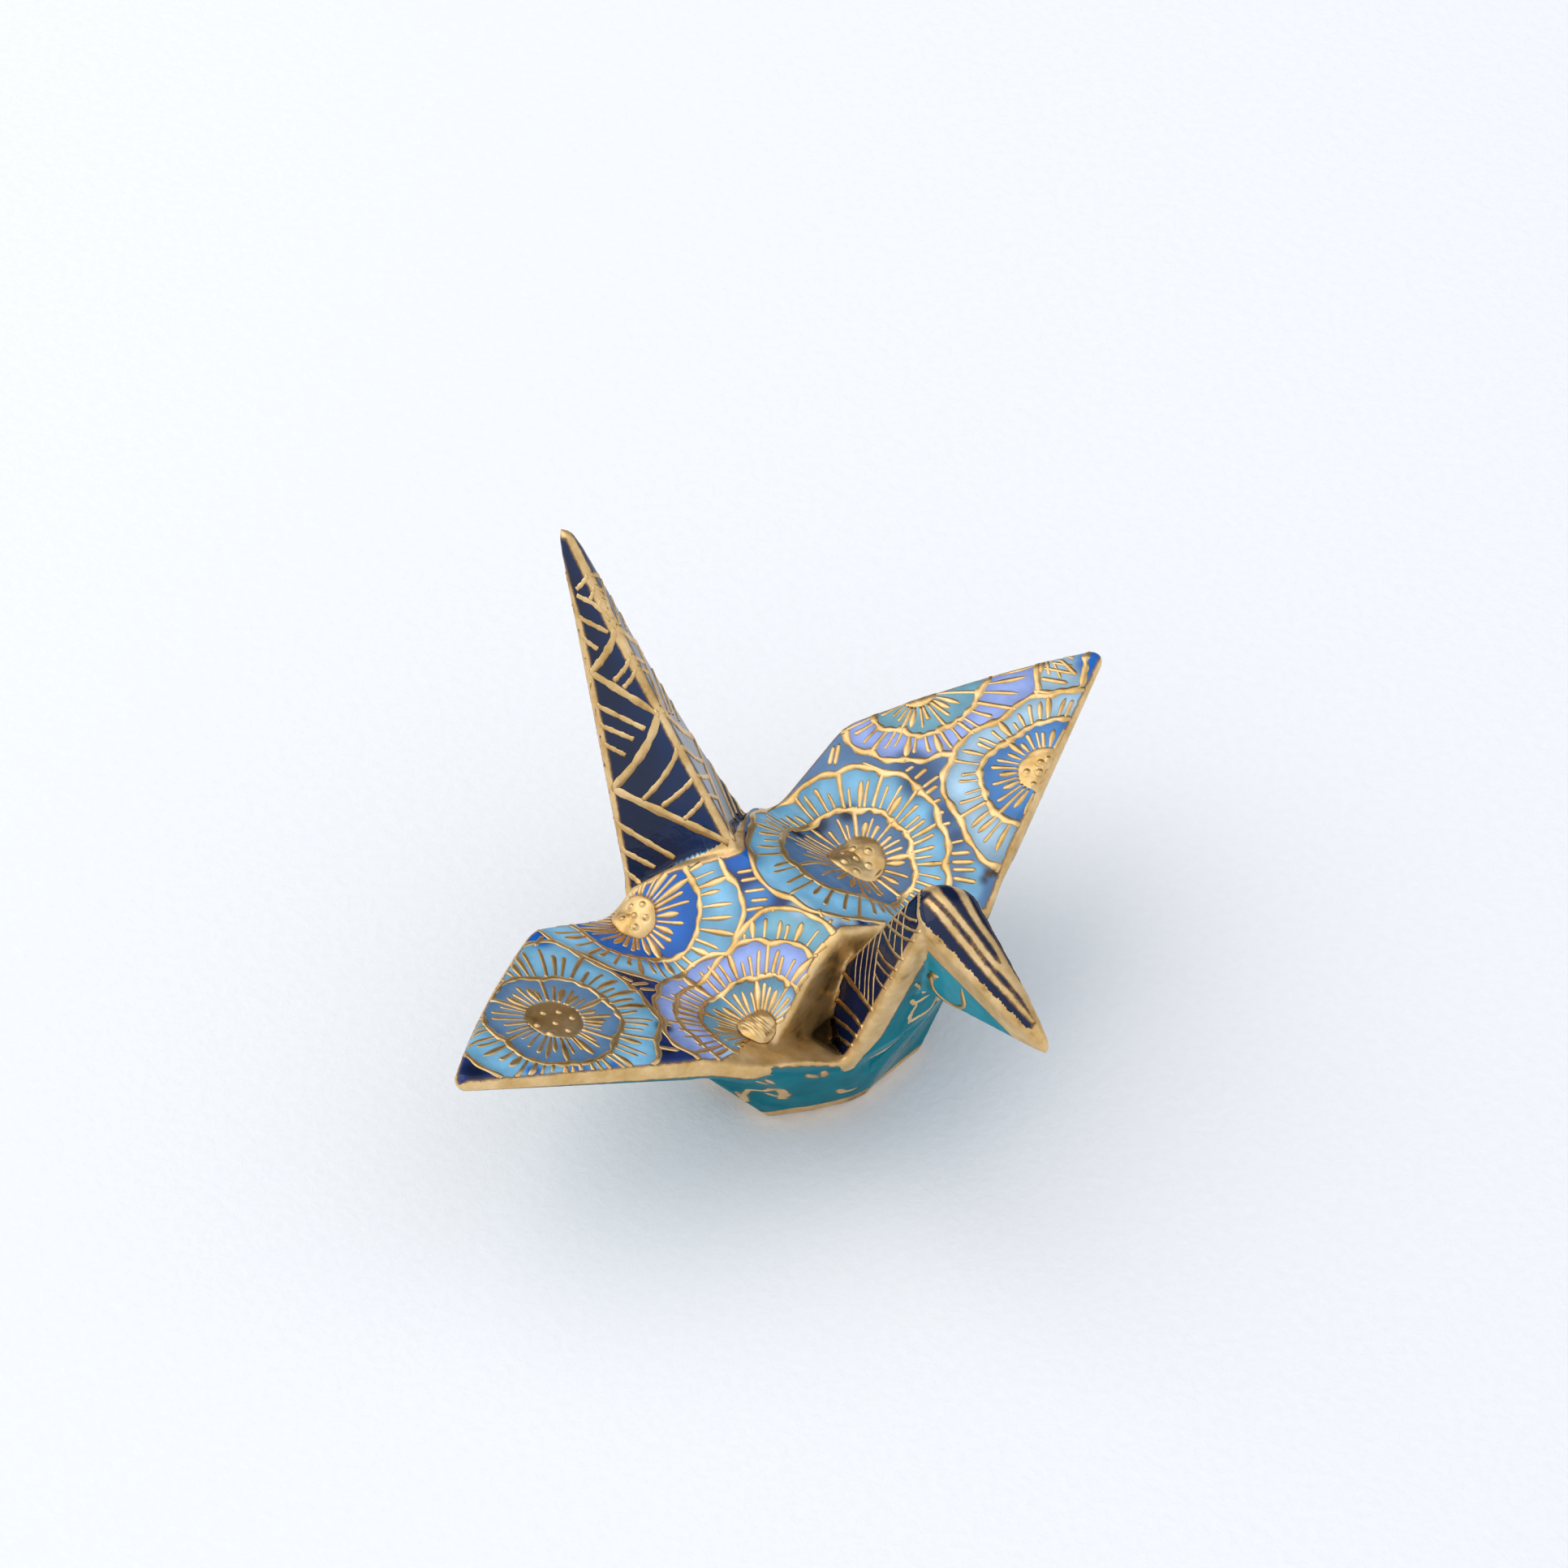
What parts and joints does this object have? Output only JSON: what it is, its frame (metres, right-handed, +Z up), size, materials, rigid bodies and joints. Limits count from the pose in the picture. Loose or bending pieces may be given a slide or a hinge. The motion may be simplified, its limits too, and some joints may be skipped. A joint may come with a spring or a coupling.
{
  "type": "ceramic origami crane",
  "caption": "Glazed ceramic figurine of a folded origami crane with spread wings, raised tail and bent head, standing on a small flat foot.",
  "frame": {"origin": "on the surface it stands on, below the middle of the folded back, on the plane of symmetry of the wings", "axes": "+Z up, -Y towards the head, +Y towards the tail, X along the wings with +X at the crane's left wing tip"},
  "size_m": [0.0812, 0.0654, 0.0475],
  "materials": {
    "enamel": "glossy blue, turquoise and violet enamels with gilded lines and edges",
    "gilding": "satin fired gold, a little raised, drawn as lines, dots and edge bands on the enamels"
  },
  "bodies": {
    "root": {"crane": "enamel"}
  },
  "joints": []
}
